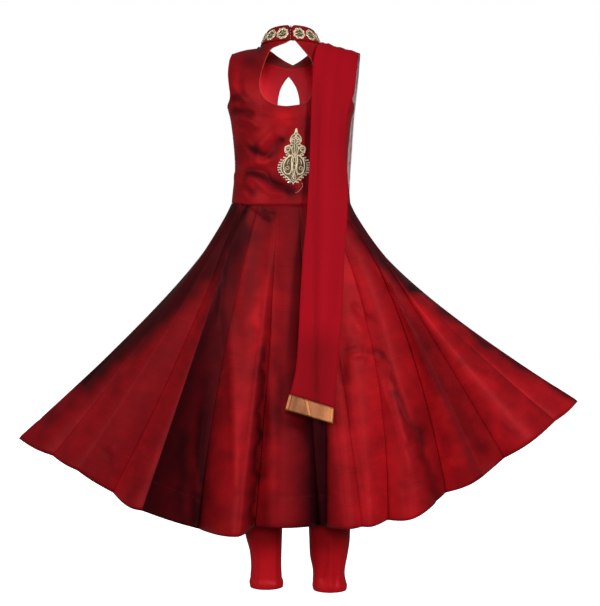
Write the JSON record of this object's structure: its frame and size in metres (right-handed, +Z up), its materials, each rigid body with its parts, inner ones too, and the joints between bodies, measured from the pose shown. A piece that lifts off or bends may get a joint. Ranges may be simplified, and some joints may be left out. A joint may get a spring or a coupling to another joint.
{
  "type": "salwar suit",
  "caption": "Sleeveless flared dress with a stand collar and open neck, slim trousers and a folded stole over one shoulder, filled out as if worn.",
  "frame": {"origin": "midway between the wearer's shoulders, where the wearer carries the dress", "axes": "+Z up, the garment's front faces -Y, the wearer's left is +X"},
  "size_m": [1.0078, 0.3475, 1.005],
  "materials": {
    "dress_silk": "deep red shot silk with a soft sheen",
    "facing_silk": "dark maroon silk",
    "lining": "bright red lining silk",
    "gold_applique": "metallic gold thread with stones",
    "trouser_cotton": "bright red satin",
    "stole_chiffon": "crimson chiffon, folded",
    "gold_border": "gold woven ribbon"
  },
  "bodies": {
    "root": {"bodice_front": "dress_silk", "bodice_back_right": "dress_silk", "bodice_back_left": "dress_silk", "collar_right": "dress_silk", "collar_left": "dress_silk", "skirt_gore_front_01": "dress_silk", "skirt_gore_front_02": "dress_silk", "skirt_gore_front_03": "dress_silk", "skirt_gore_front_04": "dress_silk", "skirt_gore_front_05": "dress_silk", "skirt_gore_front_06": "dress_silk", "skirt_gore_front_07": "dress_silk", "skirt_gore_front_08": "dress_silk", "skirt_gore_front_09": "dress_silk", "skirt_gore_front_10": "dress_silk", "skirt_gore_front_11": "dress_silk", "skirt_gore_front_12": "dress_silk", "skirt_gore_front_13": "dress_silk", "skirt_gore_front_14": "dress_silk", "skirt_gore_back_01": "dress_silk", "skirt_gore_back_02": "dress_silk", "skirt_gore_back_03": "dress_silk", "skirt_gore_back_04": "dress_silk", "skirt_gore_back_05": "dress_silk", "skirt_gore_back_06": "dress_silk", "skirt_gore_back_07": "dress_silk", "skirt_gore_back_08": "dress_silk", "skirt_gore_back_09": "dress_silk", "skirt_gore_back_10": "dress_silk", "skirt_gore_back_11": "dress_silk", "skirt_gore_back_12": "dress_silk", "skirt_gore_back_13": "dress_silk", "skirt_gore_back_14": "dress_silk", "back_neck_facing": "facing_silk", "back_lining": "lining", "collar_flower_right_1": "gold_applique", "collar_flower_right_2": "gold_applique", "collar_flower_right_3": "gold_applique", "collar_flower_left_1": "gold_applique", "collar_flower_left_2": "gold_applique", "collar_flower_left_3": "gold_applique", "chest_motif": "gold_applique", "trouser_leg_right": "trouser_cotton", "trouser_leg_left": "trouser_cotton", "trouser_waistband": "trouser_cotton", "stole_front": "stole_chiffon", "stole_back": "stole_chiffon", "stole_border_front": "gold_border", "stole_border_back": "gold_border"}
  },
  "joints": []
}
